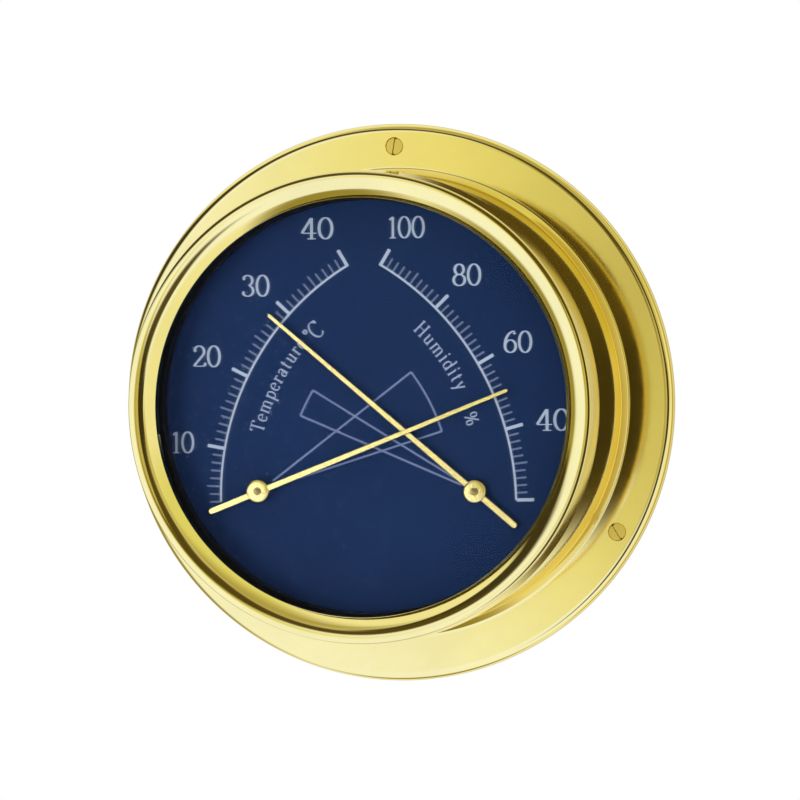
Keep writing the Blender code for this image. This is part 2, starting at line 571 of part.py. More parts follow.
def hygrometer_element():
    """Hygroscopic coil, whose outer end stands on an arm that turns for calibration."""
    coil("hygrometer_coil", HYGROMETER_HUB, HYGROSCOPIC_STRIP, HYGROMETER_COIL_RADIUS, HYGROMETER_TURNS,
         HYGROMETER_ANCHOR_ANGLE)
    arm_back = PLATE_FRONT + SEAT_GAP
    arm_front = arm_back + ADJUSTER_ARM_THICKNESS
    post = anchor_place(HYGROMETER_HUB, HYGROMETER_COIL_RADIUS, HYGROMETER_ANCHOR_ANGLE)
    turned("hygrometer_anchor", anchor_profile(arm_back, arm_front + SEAT_GAP), BRASS, post, PIN_SEGMENTS)
    head_front = PLATE_BACK - SEAT_GAP
    head_back = head_front - ADJUSTER_HEAD_HEIGHT
    sleeve_end = head_front - ADJUSTER_SOCKET_DEPTH
    bore = ARBOR_RADIUS + FIT_GAP
    collar = ADJUSTER_SLEEVE_RADIUS + ADJUSTER_ARM_THICKNESS
    sleeve = [(bore, arm_front), (collar, arm_front), (collar, arm_back), (ADJUSTER_SLEEVE_RADIUS, arm_back)]
    sleeve += [(ADJUSTER_SLEEVE_RADIUS, sleeve_end), (bore, sleeve_end)]
    arm = turned("adjuster_arm", sleeve, BRASS, HYGROMETER_HUB)
    reach = anchor_distance(HYGROMETER_COIL_RADIUS)
    root = (bore + ADJUSTER_SLEEVE_RADIUS) / 2 + ADJUSTER_ARM_HALF_WIDTH
    bm = bmesh.new()
    add_prism(bm, slot_outline((root, 0.0), (reach, 0.0), ADJUSTER_ARM_HALF_WIDTH), arm_back, arm_front)
    combine(arm, tool("adjuster_arm_lever", bm, HYGROMETER_HUB, HYGROMETER_ANCHOR_ANGLE), "UNION")
    holes = [(post, ANCHOR_RADIUS + FIT_GAP)]
    punch = hole_tool("adjuster_arm_hole", holes, PLATE_BACK, COIL_BACK, PIN_SEGMENTS)
    combine(arm, punch, "DIFFERENCE")
    socket = ADJUSTER_SLEEVE_RADIUS + PRESS_GAP
    head = [(0.0, sleeve_end - SEAT_GAP), (socket, sleeve_end - SEAT_GAP), (socket, head_front)]
    head += [(ADJUSTER_HEAD_RADIUS, head_front), (ADJUSTER_HEAD_RADIUS, head_back), (0.0, head_back)]
    knob = turned("adjuster_head", head, BRASS, HYGROMETER_HUB)
    cut = driver_slot_tool("adjuster_slot", HYGROMETER_HUB, HYGROMETER_ANCHOR_ANGLE, 2 * ADJUSTER_HEAD_RADIUS,
                           head_back - SLOT_DEPTH, head_back + SLOT_DEPTH)
    combine(knob, cut, "DIFFERENCE")


def back_cover():
    """Pressed lid that grips the bore: dished panel, air slots, and a hole to reach the adjuster."""
    rear = COVER_RECESS
    panel = COVER_RECESS + COVER_DISH_DEPTH
    outer = BODY_BORE - FIT_GAP
    slope = COVER_DISH_RADIUS + COVER_DISH_DEPTH
    inner = outer - COVER_SHEET
    rim = rear + COVER_SKIRT
    corner = arc((outer - COVER_CORNER, rear + COVER_CORNER), COVER_CORNER, 0, -90, 2)
    profile = [(0.0, panel + COVER_SHEET), (COVER_DISH_RADIUS, panel + COVER_SHEET)]
    profile += [(slope, rear + COVER_SHEET), (inner, rear + COVER_SHEET), (inner, rim), (outer, rim)]
    profile += corner + [(slope - COVER_SHEET, rear), (COVER_DISH_RADIUS - COVER_SHEET, panel), (0.0, panel)]
    cover = turned("back_cover", profile, BLACK_PAINT, segments=RING_SEGMENTS)
    half = VENT_WIDTH / 2
    reach = VENT_LENGTH / 2 - half
    bm = bmesh.new()
    for i in range(VENT_COUNT):
        x = (i - (VENT_COUNT - 1) / 2) * VENT_PITCH
        outline = slot_outline((x, VENT_HEIGHT - reach), (x, VENT_HEIGHT + reach), half, 4)
        add_prism(bm, outline, 0.0, panel + 2 * COVER_SHEET)
    add_turned(bm, pin_profile(ADJUSTER_ACCESS_RADIUS, 0.0, panel + 2 * COVER_SHEET), HYGROMETER_HUB)
    combine(cover, tool("back_cover_openings", bm), "DIFFERENCE")


def wall_screws():
    """Slotted countersunk screws that fix the flange to the wall."""
    top = FLANGE_THICKNESS - SCREW_SINK
    neck = top - (SCREW_HEAD_RADIUS - SCREW_SHANK_RADIUS)
    end = top - SCREW_LENGTH
    profile = [(0.0, top), (SCREW_HEAD_RADIUS, top), (SCREW_SHANK_RADIUS, neck)]
    profile += [(SCREW_SHANK_RADIUS, end + SCREW_POINT_LENGTH), (0.0, end)]
    for side, degrees in SCREW_PLACES.items():
        place = polar(SCREW_CIRCLE_RADIUS, degrees)
        screw = turned("wall_screw_" + side, profile, BRASS, place)
        cut = driver_slot_tool("wall_screw_slot_" + side, place, SCREW_SLOT_TURNS[side], 2 * SCREW_HEAD_RADIUS,
                               top - SLOT_DEPTH, top + SLOT_DEPTH)
        combine(screw, cut, "DIFFERENCE")


clear_scene()
STANDING = standing_empty()
flanged_case()
bezel_ring()
window_stack()
dial_plate()
retaining_ring()
movement_plate()
pillars()
bushes()
arbors()
pointers()
bimetal_element()
hygrometer_element()
back_cover()
wall_screws()
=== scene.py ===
"""Brass wall instrument with a thermometer and a hygrometer on one dark blue dial, dressed for rendering.

Metres throughout. Bench coordinates (x right, y towards twelve o'clock, h out of the wall) become world
coordinates (x, -h, y). Angles on the dial run anticlockwise from three o'clock, in degrees.
"""

import json
import math

import bmesh
import bpy
from mathutils import Matrix, Vector

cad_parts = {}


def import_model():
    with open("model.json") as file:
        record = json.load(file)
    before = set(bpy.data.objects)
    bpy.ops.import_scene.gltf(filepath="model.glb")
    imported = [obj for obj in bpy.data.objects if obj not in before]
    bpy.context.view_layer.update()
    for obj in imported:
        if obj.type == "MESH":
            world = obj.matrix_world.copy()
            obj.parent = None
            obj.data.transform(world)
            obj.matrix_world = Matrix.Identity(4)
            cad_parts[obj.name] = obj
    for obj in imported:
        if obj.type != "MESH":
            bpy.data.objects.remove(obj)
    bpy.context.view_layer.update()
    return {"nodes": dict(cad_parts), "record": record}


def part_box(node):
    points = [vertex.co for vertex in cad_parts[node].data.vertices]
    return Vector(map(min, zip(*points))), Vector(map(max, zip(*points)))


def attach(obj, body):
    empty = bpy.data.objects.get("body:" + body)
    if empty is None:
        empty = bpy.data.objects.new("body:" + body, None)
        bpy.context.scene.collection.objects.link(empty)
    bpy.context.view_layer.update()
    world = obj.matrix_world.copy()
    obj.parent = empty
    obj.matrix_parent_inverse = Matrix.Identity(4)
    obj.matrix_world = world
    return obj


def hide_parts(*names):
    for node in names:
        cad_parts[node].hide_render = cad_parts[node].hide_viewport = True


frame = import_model()
MM = 0.001

# Sections shared with the solids, in millimetres
FLANGE_WIDTH = 10.5
WALL = 1.2
FIT = 0.2
NECK_STEP = 1.8
SKIRT_FLARE = 0.25
SKIRT_TAPER = 0.55
CROWN_STEP = 0.90
LIP_WIDTH = 3.9
LIP_DEPTH = 4.0
BEZEL_DEPTH = 8.2
SCREW_INSET = 4.5
FLANGE_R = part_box("flanged_case")[1][0] / MM
CROWN_H = -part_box("bezel_ring")[0][1] / MM
BODY_R = FLANGE_R - FLANGE_WIDTH
NECK_R = BODY_R - NECK_STEP
BORE_R = BODY_R - WALL
NECK_BORE = NECK_R - WALL
SKIRT_R = BODY_R + SKIRT_FLARE
EDGE_R = SKIRT_R - SKIRT_TAPER
CROWN_R = EDGE_R - CROWN_STEP
LIP_R = CROWN_R - LIP_WIDTH
LIP_BACK = CROWN_H - LIP_DEPTH
SKIRT_H = CROWN_H - BEZEL_DEPTH
SHOULDER_H = SKIRT_H - FIT
GLASS_LOW = -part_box("glass")[1][1] / MM
GLASS_HIGH = -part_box("glass")[0][1] / MM
SPACER_LOW = -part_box("spacer_ring")[1][1] / MM
SPACER_HIGH = -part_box("spacer_ring")[0][1] / MM
DIAL_LOW = -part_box("dial_plate")[1][1] / MM
DIAL_HIGH = -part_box("dial_plate")[0][1] / MM
HUB_X = 20.853
HUB_Y = -15.944
LEFT_HUB = (-HUB_X, HUB_Y)
RIGHT_HUB = (HUB_X, HUB_Y)
SCREW_CIRCLE = FLANGE_R - SCREW_INSET
# Place of each wall screw round the flange, and the turn of its slot
SCREWS = {"top": (90.0, 80.0), "right": (-30.0, 122.0), "left": (210.0, 35.0)}
# Facets round the outer shells, the inner discs, the hubs, and small and tiny holes and pins
ROUND = 288
INNER_ROUND = 192
HUB_FACETS = 64
SMALL_ROUND = 48
TINY_ROUND = 40


def world(x, y, h):
    """Bench millimetres to world metres."""
    return Vector((x * MM, -h * MM, y * MM))


def polar(radius, degrees, center=(0.0, 0.0)):
    turn = math.radians(degrees)
    return (center[0] + radius * math.cos(turn), center[1] + radius * math.sin(turn))


def arc(center, radius, start, end, steps, fullness=2.0):
    """Points along an arc; radius may be a pair for an oval, and fullness over 2 squares it."""
    rx, ry = radius if isinstance(radius, tuple) else (radius, radius)
    points = []
    for i in range(steps + 1):
        turn = math.radians(start + (end - start) * i / steps)
        x = math.copysign(abs(math.cos(turn)) ** (2 / fullness), math.cos(turn))
        y = math.copysign(abs(math.sin(turn)) ** (2 / fullness), math.sin(turn))
        points.append((center[0] + rx * x, center[1] + ry * y))
    return points


def make_object(name, bm, material, sharp=30.0):
    bmesh.ops.remove_doubles(bm, verts=bm.verts[:], dist=1e-7)
    bmesh.ops.recalc_face_normals(bm, faces=bm.faces[:])
    mesh = bpy.data.meshes.new(name)
    bm.to_mesh(mesh)
    bm.free()
    mesh.shade_smooth()
    mesh.set_sharp_from_angle(angle=math.radians(sharp))
    mesh.materials.append(material)
    obj = bpy.data.objects.new(name, mesh)
    bpy.context.scene.collection.objects.link(obj)
    return obj


def add_lathe(bm, profile, center=(0.0, 0.0), segments=ROUND, closed=True):
    """Turns a profile of (radius, height) millimetres about an axis square to the dial."""
    rows = []
    for radius, height in profile:
        if radius < 1e-6:
            rows.append([bm.verts.new(world(center[0], center[1], height))] * segments)
            continue
        row = []
        for i in range(segments):
            x, y = polar(radius, 360.0 * i / segments, center)
            row.append(bm.verts.new(world(x, y, height)))
        rows.append(row)
    pairs = list(zip(rows, rows[1:]))
    if closed:
        pairs.append((rows[-1], rows[0]))
    for low, high in pairs:
        for i in range(segments):
            j = (i + 1) % segments
            corners = []
            for vert in (low[i], low[j], high[j], high[i]):
                if vert not in corners:
                    corners.append(vert)
            if len(corners) > 2:
                bm.faces.new(corners)


def add_prism(bm, outline, low, high):
    base = [bm.verts.new(world(x, y, low)) for x, y in outline]
    top = [bm.verts.new(world(x, y, high)) for x, y in outline]
    bm.faces.new(base)
    bm.faces.new(top)
    for i in range(len(outline)):
        j = (i + 1) % len(outline)
        bm.faces.new((base[i], base[j], top[j], top[i]))


def slot_outline(start, end, half, steps=10):
    """Long hole between two centres, with round ends."""
    heading = math.degrees(math.atan2(end[1] - start[1], end[0] - start[0]))
    far = arc(end, half, heading - 90, heading + 90, steps)
    return far + arc(start, half, heading + 90, heading + 270, steps)


def cut(obj, bm, operation="DIFFERENCE", sharp=30.0):
    """Boolean with a helper solid, applied to the mesh."""
    bmesh.ops.recalc_face_normals(bm, faces=bm.faces[:])
    mesh = bpy.data.meshes.new("helper")
    bm.to_mesh(mesh)
    bm.free()
    helper = bpy.data.objects.new("helper", mesh)
    bpy.context.scene.collection.objects.link(helper)
    step = obj.modifiers.new("cut", "BOOLEAN")
    step.object = helper
    step.operation = operation
    step.solver = "EXACT"
    bpy.context.view_layer.update()
    done = bpy.data.meshes.new_from_object(obj.evaluated_get(bpy.context.evaluated_depsgraph_get()))
    obj.modifiers.remove(step)
    obj.data = done
    bpy.data.objects.remove(helper, do_unlink=True)
    done.shade_smooth()
    done.set_sharp_from_angle(angle=math.radians(sharp))


# Materials

BUMP_DEPTH = 0.00002


class Nodes:
    """Short way to build one material's nodes."""

    def __init__(self, name):
        self.material = bpy.data.materials.new(name)
        self.material.use_nodes = True
        self.tree = self.material.node_tree
        self.shader = self.tree.nodes["Principled BSDF"]
        place = self.tree.nodes.new("ShaderNodeTexCoord")
        self.place = place.outputs["Object"]

    def node(self, kind, **inputs):
        made = self.tree.nodes.new("ShaderNode" + kind)
        for key, value in inputs.items():
            self.put(made.inputs[key.replace("_", " ")], value)
        return made

    def put(self, socket, value):
        if isinstance(value, bpy.types.NodeSocket):
            self.tree.links.new(value, socket)
        else:
            socket.default_value = value

    def set(self, **inputs):
        for key, value in inputs.items():
            self.put(self.shader.inputs[key.replace("_", " ")], value)

    def noise(self, scale, detail=3.0, roughness=0.55):
        made = self.node("TexNoise", Vector=self.place, Scale=scale, Detail=detail, Roughness=roughness)
        return made.outputs["Fac"]

    def ramp(self, factor, *stops):
        made = self.node("ValToRGB", Fac=factor)
        ramp = made.color_ramp
        while len(ramp.elements) < len(stops):
            ramp.elements.new(0.5)
        for element, (position, color) in zip(ramp.elements, stops):
            element.position = position
            element.color = (*color, 1.0)
        return made.outputs["Color"]

    def span(self, factor, low, high):
        made = self.node("MapRange", Value=factor, From_Min=0.25, From_Max=0.75, To_Min=low, To_Max=high)
        return made.outputs["Result"]

    def bump(self, height, strength):
        made = self.node("Bump", Height=height, Strength=strength, Distance=BUMP_DEPTH)
        self.put(self.shader.inputs["Normal"], made.outputs["Normal"])

    def combine(self, operation, first, second):
        made = self.node("Math")
        made.operation = operation
        self.put(made.inputs[0], first)
        self.put(made.inputs[1], second)
        return made.outputs["Value"]


def shade(color, factor):
    return tuple(min(1.0, channel * factor) for channel in color)


def metal(name, color, rough_low, rough_high, grain=0.0, spread=0.05):
    """Metal with slow colour drift, fine wear in its gloss, and an optional turned or rolled grain."""
    m = Nodes(name)
    drift = m.noise(55.0, 4.0)
    dark, pale = shade(color, 1 - spread), shade(color, 1 + spread * 0.6)
    m.set(Base_Color=m.ramp(drift, (0.30, dark), (0.70, pale)))
    m.set(Metallic=1.0)
    wear = m.noise(420.0, 5.0, 0.6)
    m.set(Roughness=m.span(wear, rough_low, rough_high))
    if grain:
        m.bump(m.noise(2600.0, 3.0, 0.6), grain)
    return m.material


def painted(name, color, rough_low, rough_high, scale, bump, spread=0.12, shine=0.5):
    """Paint, print, film or rubber with slow colour drift and a fine uneven surface."""
    m = Nodes(name)
    m.set(Specular_IOR_Level=shine)
    drift = m.noise(70.0, 4.0)
    m.set(Base_Color=m.ramp(drift, (0.30, shade(color, 1 - spread)), (0.70, shade(color, 1 + spread))))
    fine = m.noise(scale, 4.0, 0.6)
    m.set(Roughness=m.span(fine, rough_low, rough_high))
    m.bump(fine, bump)
    return m.material


def window_material():
    m = Nodes("window_glass")
    haze = m.noise(240.0, 3.0)
    m.set(Base_Color=m.ramp(haze, (0.3, (0.93, 0.96, 0.96)), (0.7, (0.98, 0.99, 0.99))))
    m.set(Roughness=m.span(haze, 0.0, 0.02), Transmission_Weight=1.0, IOR=1.45, Alpha=0.05)
    return m.material


BRASS = (0.88, 0.72, 0.20)
MATERIALS = {
    "case_brass": metal("case_brass", BRASS, 0.05, 0.09),
    "bezel_brass": metal("bezel_brass", BRASS, 0.05, 0.09),
    "screw_brass": metal("screw_brass", (0.76, 0.55, 0.08), 0.12, 0.20, 0.10),
    "movement_brass": metal("movement_brass", (0.78, 0.60, 0.22), 0.22, 0.36, 0.35),
    "pointer_brass": metal("pointer_brass", (0.88, 0.70, 0.19), 0.14, 0.22, 0.06),
    "bright_steel": metal("bright_steel", (0.40, 0.39, 0.37), 0.28, 0.42, 0.20),
    "spring_steel": metal("spring_steel", (0.16, 0.17, 0.20), 0.30, 0.45, 0.20),
    "bimetal_strip": metal("bimetal_strip", (0.52, 0.47, 0.40), 0.30, 0.42, 0.30, 0.10),
    "hygroscopic_strip": painted("hygroscopic_strip", (0.55, 0.44, 0.27), 0.45, 0.62, 700.0, 0.3),
    "seal_rubber": painted("seal_rubber", (0.018, 0.018, 0.018), 0.65, 0.85, 1500.0, 0.4),
    "black_paint": painted("black_paint", (0.0050, 0.0052, 0.0050), 0.50, 0.66, 1800.0, 0.25, 0.12, 0.10),
    # Arbor ends: the movement's brass darkened, a painted shade for the dark centre of each hub
    "arbor_brass_painted_shade": metal("arbor_brass_painted_shade", (0.36, 0.25, 0.05), 0.25, 0.38, 0.20),
    "dial_paint": painted("dial_paint", (0.0062, 0.0190, 0.0640), 0.55, 0.70, 1200.0, 0.10, 0.06, 0.04),
    "window_glass": window_material(),
}
# Print on the dial: colour and its drift
PRINTS = {
    "dial_print": ((0.32, 0.385, 0.485), 0.06),
    "dial_word_print": ((0.25, 0.31, 0.43), 0.08),
    "dial_tick_print": ((0.105, 0.135, 0.215), 0.08),
    "dial_fine_print": ((0.130, 0.170, 0.300), 0.10),
}
for print_name, (print_color, print_spread) in PRINTS.items():
    MATERIALS[print_name] = painted(print_name, print_color, 0.45, 0.60, 2500.0, 0.20, print_spread, 0.20)

for entry in frame["record"]["subparts"]:
    node = frame["nodes"][entry["node"]]
    node.data.materials.clear()
    node.data.materials.append(MATERIALS[entry["material_slot"]])


def stand_in(obj, body, slot, *nodes):
    """Rides a piece on its body and hides the solids that it stands for; the finish slot is not used."""
    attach(obj, body)
    if nodes:
        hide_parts(*nodes)


# Case, bezel and back cover

RIM_WIDTH = 1.75
RIM_LOW = 0.6
RIM_RISE = 2.12
RIM_FULLNESS = 3.0
# Dished face of the flange beside the rim: outwards from the flange's edge, and height
FACE = ((-1.9, 2.717), (-2.2, 2.711))
# From the face over the coned root to the wall: outwards from the body, and height
ROOT = ((2.1, 2.609), (1.7, 2.602), (1.6, 2.62), (1.54, 2.67), (1.48, 2.74), (1.3, 2.94), (0.65, 3.70),
        (0.45, 3.94), (0.36, 4.08), (0.30, 4.30), (0.296, 4.7))
# Countersunk screw hole through the flange: radius and height
SCREW_HOLE = ((0.0, 6.0), (1.80, 6.0), (1.80, 2.6), (1.3, 2.0), (1.3, -2.0), (0.0, -2.0))


def case_shell():
    """Case turned in one piece from the flange's back over the rim, root, wall and neck to the bore."""
    profile = [(BORE_R, 0.0), (FLANGE_R - 0.5, 0.0), (FLANGE_R - 0.3, 0.0), (FLANGE_R, 0.3)]
    profile += arc((FLANGE_R - RIM_WIDTH, RIM_LOW), (RIM_WIDTH, RIM_RISE), 0, 90, 36, RIM_FULLNESS)
    profile += [(FLANGE_R + offset, height) for offset, height in FACE]
    profile += [(BODY_R + offset, height) for offset, height in ROOT]
    profile += [(BODY_R + 0.004, SHOULDER_H - 0.4), (BODY_R, SHOULDER_H - 0.1)]
    profile += [(BODY_R - 0.1, SHOULDER_H), (NECK_R, SHOULDER_H)]
    profile += [(NECK_R, GLASS_HIGH), (NECK_BORE, GLASS_HIGH), (NECK_BORE, SHOULDER_H - WALL)]
    profile += [(BORE_R, SHOULDER_H - WALL)]
    bm = bmesh.new()
    add_lathe(bm, profile)
    obj = make_object("case_shell", bm, MATERIALS["case_brass"])
    bm = bmesh.new()
    for degrees, _ in SCREWS.values():
        add_lathe(bm, SCREW_HOLE, polar(SCREW_CIRCLE, degrees), SMALL_ROUND, False)
    cut(obj, bm)
    stand_in(obj, "case", "case_brass", "flanged_case")


# Rounds of the bezel's front from the crown in to the lip: radius, slopes at both ends, steps
BEAD = ((6.0, 0, 18, 24), (2.0, 18, 38, 12), (9.5, 38, 49.8, 14))
EDGE_ROLL = 3.2
EDGE_SLOPE = 77.5
EDGE_ROUND = 0.22
SKIRT_ROUND = 0.4


def bezel():
    """Turned ring: rounded front, inner lip, and a skirt that flares towards the wall."""
    bead = [(CROWN_R, CROWN_H)]
    for radius, start, end, steps in BEAD:
        turn = math.radians(start)
        center = (bead[-1][0] + radius * math.sin(turn), bead[-1][1] - radius * math.cos(turn))
        bead += arc(center, radius, 90 + start, 90 + end, steps)[1:]
    bead += [(LIP_R, bead[-1][1] - 0.02), (LIP_R, bead[-1][1] - 0.12)]
    edge = arc((CROWN_R, CROWN_H - EDGE_ROLL), EDGE_ROLL, 90, EDGE_SLOPE, 16)
    turn = math.radians(EDGE_SLOPE)
    corner = (edge[-1][0] - EDGE_ROUND * math.cos(turn), edge[-1][1] - EDGE_ROUND * math.sin(turn))
    edge += arc(corner, EDGE_ROUND, EDGE_SLOPE, 5, 12)[1:]
    profile = bead[::-1] + edge[1:]
    profile += [(EDGE_R + 0.02, CROWN_H - 0.5), (EDGE_R + 0.04, CROWN_H - 0.8)]
    profile += [(SKIRT_R - 0.03, SKIRT_H + 0.8), (SKIRT_R - 0.01, SKIRT_H + 0.55)]
    profile += arc((SKIRT_R - SKIRT_ROUND, SKIRT_H + SKIRT_ROUND), SKIRT_ROUND, 0, -90, 8)
    profile += [(NECK_R + FIT, SKIRT_H), (NECK_R + FIT, LIP_BACK), (LIP_R + 0.1, LIP_BACK)]
    profile += [(LIP_R, LIP_BACK + 0.1)]
    bm = bmesh.new()
    add_lathe(bm, profile)
    obj = make_object("bezel", bm, MATERIALS["bezel_brass"])
    stand_in(obj, "case", "bezel_brass", "bezel_ring")


GLASS_CHAMFER = 0.15
SPACER_WIDTH = 2.2
ARBOR_HOLE_R = 1.8


def window():
    outer = NECK_BORE - FIT
    profile = [(0.0, GLASS_HIGH), (outer - GLASS_CHAMFER, GLASS_HIGH), (outer, GLASS_HIGH - GLASS_CHAMFER)]
    profile += [(outer, GLASS_LOW + GLASS_CHAMFER), (outer - GLASS_CHAMFER, GLASS_LOW), (0.0, GLASS_LOW)]
    bm = bmesh.new()
    add_lathe(bm, profile, segments=INNER_ROUND, closed=False)
    obj = make_object("window", bm, MATERIALS["window_glass"])
    stand_in(obj, "case", "window_glass", "glass")


def spacer():
    outer = NECK_BORE - FIT
    inner = outer - SPACER_WIDTH
    profile = [(inner + 0.1, SPACER_HIGH), (outer, SPACER_HIGH), (outer, SPACER_LOW), (inner, SPACER_LOW)]
    profile += [(inner, SPACER_HIGH - 0.1)]
    bm = bmesh.new()
    add_lathe(bm, profile, segments=INNER_ROUND)
    obj = make_object("spacer", bm, MATERIALS["black_paint"])
    stand_in(obj, "case", "black_paint", "spacer_ring")


def dial():
    outer = BORE_R - FIT
    profile = [(0.0, DIAL_HIGH), (outer, DIAL_HIGH), (outer, DIAL_LOW), (0.0, DIAL_LOW)]
    bm = bmesh.new()
    add_lathe(bm, profile, segments=INNER_ROUND, closed=False)
    obj = make_object("dial", bm, MATERIALS["dial_paint"])
    bm = bmesh.new()
    above, below = DIAL_HIGH + 1, DIAL_LOW - 1
    hole = [(0.0, above), (ARBOR_HOLE_R, above), (ARBOR_HOLE_R, below), (0.0, below)]
    for hub in (LEFT_HUB, RIGHT_HUB):
        add_lathe(bm, hole, hub, TINY_ROUND, False)
    cut(obj, bm)
    stand_in(obj, "case", "dial_paint", "dial_plate")


LID_DISH_R = 34.5
LID_SHEET = 0.8
LID_BEND = 0.6
LID_DISH_H = 3.0
LID_FLAT_H = 1.8
LID_RIM_H = 7.0
LID_SLOTS = 7
LID_SLOT_PITCH = 6.0
LID_SLOT_ENDS = (6.6, 19.4)
LID_SLOT_HALF = 1.1
ADJUSTER_HOLE_R = 3.2


def back_lid():
    """Pressed lid with a set-in middle, air slots and a hole over the adjuster."""
    outer = BORE_R - FIT
    inner = outer - LID_SHEET
    dish = LID_DISH_R
    profile = [(0.0, LID_DISH_H), (dish - 0.2, LID_DISH_H)]
    profile += arc((dish - 0.2, LID_DISH_H - LID_BEND), LID_BEND, 90, 40, 5)
    profile += [(dish + 1.2, LID_FLAT_H), (inner - LID_BEND, LID_FLAT_H), (inner, LID_FLAT_H + LID_BEND)]
    profile += [(inner, LID_RIM_H), (outer - 0.1, LID_RIM_H), (outer, LID_RIM_H - 0.1)]
    profile += arc((inner, LID_FLAT_H), LID_SHEET, 0, -90, 8)
    profile += [(dish + 0.4, LID_FLAT_H - LID_SHEET), polar(LID_BEND, -50, (dish - LID_BEND, 1.6))]
    profile += [(dish - 0.8, LID_DISH_H - LID_SHEET), (0.0, LID_DISH_H - LID_SHEET)]
    bm = bmesh.new()
    add_lathe(bm, profile, segments=INNER_ROUND, closed=False)
    obj = make_object("back_lid", bm, MATERIALS["black_paint"])
    bm = bmesh.new()
    bottom, top = LID_SLOT_ENDS
    for i in range(LID_SLOTS):
        x = (i - LID_SLOTS // 2) * LID_SLOT_PITCH
        add_prism(bm, slot_outline((x, bottom), (x, top), LID_SLOT_HALF), 0.0, 5.0)
    hole = [(0.0, 5.0), (ADJUSTER_HOLE_R, 5.0), (ADJUSTER_HOLE_R, 0.0), (0.0, 0.0)]
    add_lathe(bm, hole, LEFT_HUB, SMALL_ROUND, False)
    cut(obj, bm)
    stand_in(obj, "case", "black_paint", "back_cover")


# Wall screws

SHANK_R = 1.1
SCREW_HEAD = ((0.0, 2.5), (1.58, 2.5), (1.68, 2.44), (1.7, 2.36), (SHANK_R, 1.75), (SHANK_R, 0.3))
THREAD_TOP = 0.2
THREAD_LENGTH = 10.2
THREAD_PITCH = 0.8
THREAD_DEPTH = 0.22
THREAD_STEPS = 120
THREAD_RUN_OUT = 10.0
THREAD_FLANK = 1.6
THREAD_CREST = 0.62
TIP_DEPTH = 10.2
TIP_TAPER = 2.8
TIP_FULLNESS = 0.8
TIP_FLAT = 0.05
SLOT_HALF = 0.25
SLOT_REACH = 3
SLOT_LOW = 2.1
SLOT_CUT = 1.5
SCREW_SHARP = 15.0


def wall_screw(side):
    """Slotted countersunk screw with a cut thread."""
    degrees, slot_turn = SCREWS[side]
    center = polar(SCREW_CIRCLE, degrees)
    rows = [(radius, height, 0.0) for radius, height in SCREW_HEAD]
    for i in range(THREAD_STEPS + 1):
        height = THREAD_TOP - THREAD_LENGTH * i / THREAD_STEPS
        reach = min(1.0, (height + TIP_DEPTH) / TIP_TAPER) ** TIP_FULLNESS
        rows.append((SHANK_R * reach, height, THREAD_DEPTH * min(1.0, i / THREAD_RUN_OUT) * reach))
    rows.append((0.0, TIP_FLAT - TIP_DEPTH, 0.0))
    bm = bmesh.new()
    grid = []
    for radius, height, depth in rows:
        row = []
        for k in range(TINY_ROUND):
            phase = (height / THREAD_PITCH + k / TINY_ROUND) % 1.0
            off = abs(2.0 * phase - 1.0)
            inset = depth * (1.0 - off * THREAD_FLANK) if off < THREAD_CREST else 0.0
            x, y = polar(max(radius - inset, 0.0), 360.0 * k / TINY_ROUND, center)
            row.append(bm.verts.new(world(x, y, height)))
        grid.append(row)
    for low, high in zip(grid, grid[1:]):
        for k in range(TINY_ROUND):
            j = (k + 1) % TINY_ROUND
            bm.faces.new((low[k], low[j], high[j], high[k]))
    obj = make_object("wall_screw_" + side + "_turned", bm, MATERIALS["screw_brass"], SCREW_SHARP)
    bm = bmesh.new()
    turn = math.radians(slot_turn)
    along = (math.cos(turn), math.sin(turn))
    outline = []
    for a, b in ((-SLOT_REACH, -SLOT_HALF), (SLOT_REACH, -SLOT_HALF),
                 (SLOT_REACH, SLOT_HALF), (-SLOT_REACH, SLOT_HALF)):
        outline.append((center[0] + a * along[0] - b * along[1], center[1] + a * along[1] + b * along[0]))
    add_prism(bm, outline, SLOT_LOW, SLOT_LOW + SLOT_CUT)
    cut(obj, bm, sharp=SCREW_SHARP)
    stand_in(obj, "case", "screw_brass", "wall_screw_" + side)


# Pointers

HUB_R = 2.2
HUB_BORE = 0.7
HUB_FLAT = 1.75
HUB_ROUND = 0.4
HUB_CHAMFER = 0.06
BLADE_STEP = 0.2
BLADE_ROOT = 1.5
BLADE_END = 51.65
BLADE_ROOT_HALF = 0.6
BLADE_END_HALF = 0.35
TAIL_END = 9.8
BACK_CHAMFER = 0.06
FRONT_CHAMFER = 0.10


